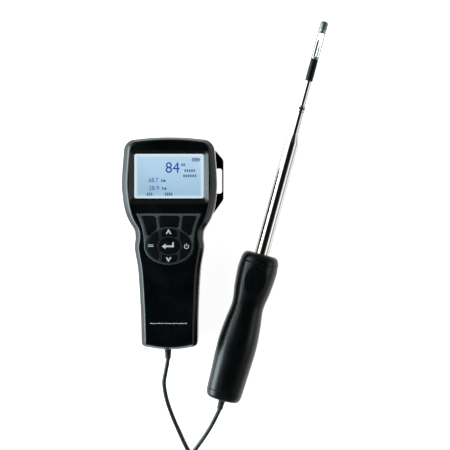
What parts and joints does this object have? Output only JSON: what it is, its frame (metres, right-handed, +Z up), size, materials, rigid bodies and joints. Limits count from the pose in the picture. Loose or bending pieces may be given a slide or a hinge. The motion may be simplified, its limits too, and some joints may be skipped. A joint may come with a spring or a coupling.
{
  "type": "handheld weather meter",
  "caption": "Handheld air-velocity meter with a wide display head, round keypad and strap loop, joined by a thin cord to a contoured probe handle with a telescoping sensor wand.",
  "frame": {"origin": "middle of the meter case's flat back, on the table that the meter and its probe lie on", "axes": "+Z up out of the display face, +Y along the meter towards its display end, +X towards the strap loop and the probe"},
  "size_m": [0.1759, 0.453, 0.0448],
  "materials": {
    "case_black": "satin black moulded ABS with a soft sheen",
    "key_black": "matte black silicone-faced key with white printed marks",
    "rib_grey": "dark grey satin moulding",
    "chrome": "bright polished chrome tube",
    "steel": "fine brushed steel",
    "nickel_spring": "nickel-plated spring steel",
    "rubber_black": "matte black rubber",
    "cord_black": "smooth black PVC cord",
    "board_green": "green solder mask",
    "lcd_blue": "pale blue lit display with navy figures",
    "lens_clear": "clear acrylic window",
    "backlight_white": "white diffuser",
    "cell_wrap": "printed cell wrap, plain",
    "sensor_dark": "dark glass-coated sensor and socket plastic"
  },
  "bodies": {
    "meter": {"front_shell": "case_black", "rear_shell": "case_black", "strap_bracket": "case_black", "display_lens": "lens_clear", "lcd_glass": "lcd_blue", "lcd_backlight": "backlight_white", "keypad_frame": "rib_grey", "keypad_mat": "rubber_black", "main_board": "board_green", "battery_contact_rear": "nickel_spring", "battery_contact_front": "nickel_spring", "dc_jack": "sensor_dark", "data_port": "steel", "meter_cord_gland": "rubber_black", "cord_meter_lead": "cord_black", "cord_probe_lead": "cord_black", "cord_coil": "cord_black", "cord_coil_tie": "rubber_black", "battery_1": "cell_wrap", "case_screw_1": "steel", "battery_2": "cell_wrap", "case_screw_2": "steel", "battery_3": "cell_wrap", "case_screw_3": "steel", "battery_4": "cell_wrap", "case_screw_4": "steel"},
    "softkey_left_body": {"softkey_left": "key_black"},
    "softkey_middle_body": {"softkey_middle": "key_black"},
    "softkey_right_body": {"softkey_right": "key_black"},
    "key_up_body": {"key_up": "key_black"},
    "key_down_body": {"key_down": "key_black"},
    "key_escape_body": {"key_escape": "key_black"},
    "key_power_body": {"key_power": "key_black"},
    "key_enter_body": {"key_enter": "key_black"},
    "cover": {"battery_cover": "case_black"},
    "probe": {"handle_front_shell": "case_black", "handle_rear_shell": "case_black", "handle_end_cap": "case_black", "handle_nose": "case_black", "probe_cord_gland": "rubber_black", "probe_tube_1": "chrome"},
    "section_2": {"probe_tube_2": "chrome"},
    "section_3": {"probe_tube_3": "chrome"},
    "section_4": {"probe_tube_4": "chrome"},
    "section_5": {"probe_tube_5": "chrome", "probe_collar": "chrome", "probe_stem": "chrome", "tip_sleeve": "key_black", "sensor_guard": "steel", "velocity_sensor": "sensor_dark", "temperature_sensor": "steel", "tip_cap": "chrome"}
  },
  "joints": [
    {"name": "softkey_left_press", "type": "slide", "parent": "meter", "child": "softkey_left_body", "axis": [0, 0, -1], "range_m": [0, 0.0008], "stiffness_N_per_m": 1500},
    {"name": "softkey_middle_press", "type": "slide", "parent": "meter", "child": "softkey_middle_body", "axis": [0, 0, -1], "range_m": [0, 0.0008], "stiffness_N_per_m": 1500},
    {"name": "softkey_right_press", "type": "slide", "parent": "meter", "child": "softkey_right_body", "axis": [0, 0, -1], "range_m": [0, 0.0008], "stiffness_N_per_m": 1500},
    {"name": "key_up_press", "type": "slide", "parent": "meter", "child": "key_up_body", "axis": [0, 0, -1], "range_m": [0, 0.0008], "stiffness_N_per_m": 1500},
    {"name": "key_down_press", "type": "slide", "parent": "meter", "child": "key_down_body", "axis": [0, 0, -1], "range_m": [0, 0.0008], "stiffness_N_per_m": 1500},
    {"name": "key_escape_press", "type": "slide", "parent": "meter", "child": "key_escape_body", "axis": [0, 0, -1], "range_m": [0, 0.0008], "stiffness_N_per_m": 1500},
    {"name": "key_power_press", "type": "slide", "parent": "meter", "child": "key_power_body", "axis": [0, 0, -1], "range_m": [0, 0.0008], "stiffness_N_per_m": 1500},
    {"name": "key_enter_press", "type": "slide", "parent": "meter", "child": "key_enter_body", "axis": [0, 0, -1], "range_m": [0, 0.0008], "stiffness_N_per_m": 1500},
    {"name": "battery_cover_off", "type": "slide", "parent": "meter", "child": "cover", "axis": [0, 0, -1], "range_m": [0, 0.03]},
    {"name": "probe_raise", "type": "hinge", "parent": "meter", "child": "probe", "pos_m": [0.04182, -0.14472, 0.0161], "axis": [0.965, -0.2622, 0], "range_deg": [0, 60], "deforming": ["cord_probe_lead"]},
    {"name": "section_2_extend", "type": "slide", "parent": "probe", "child": "section_2", "axis": [0.2622, 0.965, 0], "range_m": [0, 0.165]},
    {"name": "section_3_extend", "type": "slide", "parent": "section_2", "child": "section_3", "axis": [0.2622, 0.965, 0], "range_m": [0, 0.165]},
    {"name": "section_4_extend", "type": "slide", "parent": "section_3", "child": "section_4", "axis": [0.2622, 0.965, 0], "range_m": [0, 0.165]},
    {"name": "section_5_extend", "type": "slide", "parent": "section_4", "child": "section_5", "axis": [0.2622, 0.965, 0], "range_m": [-0.02, 0.165]}
  ]
}
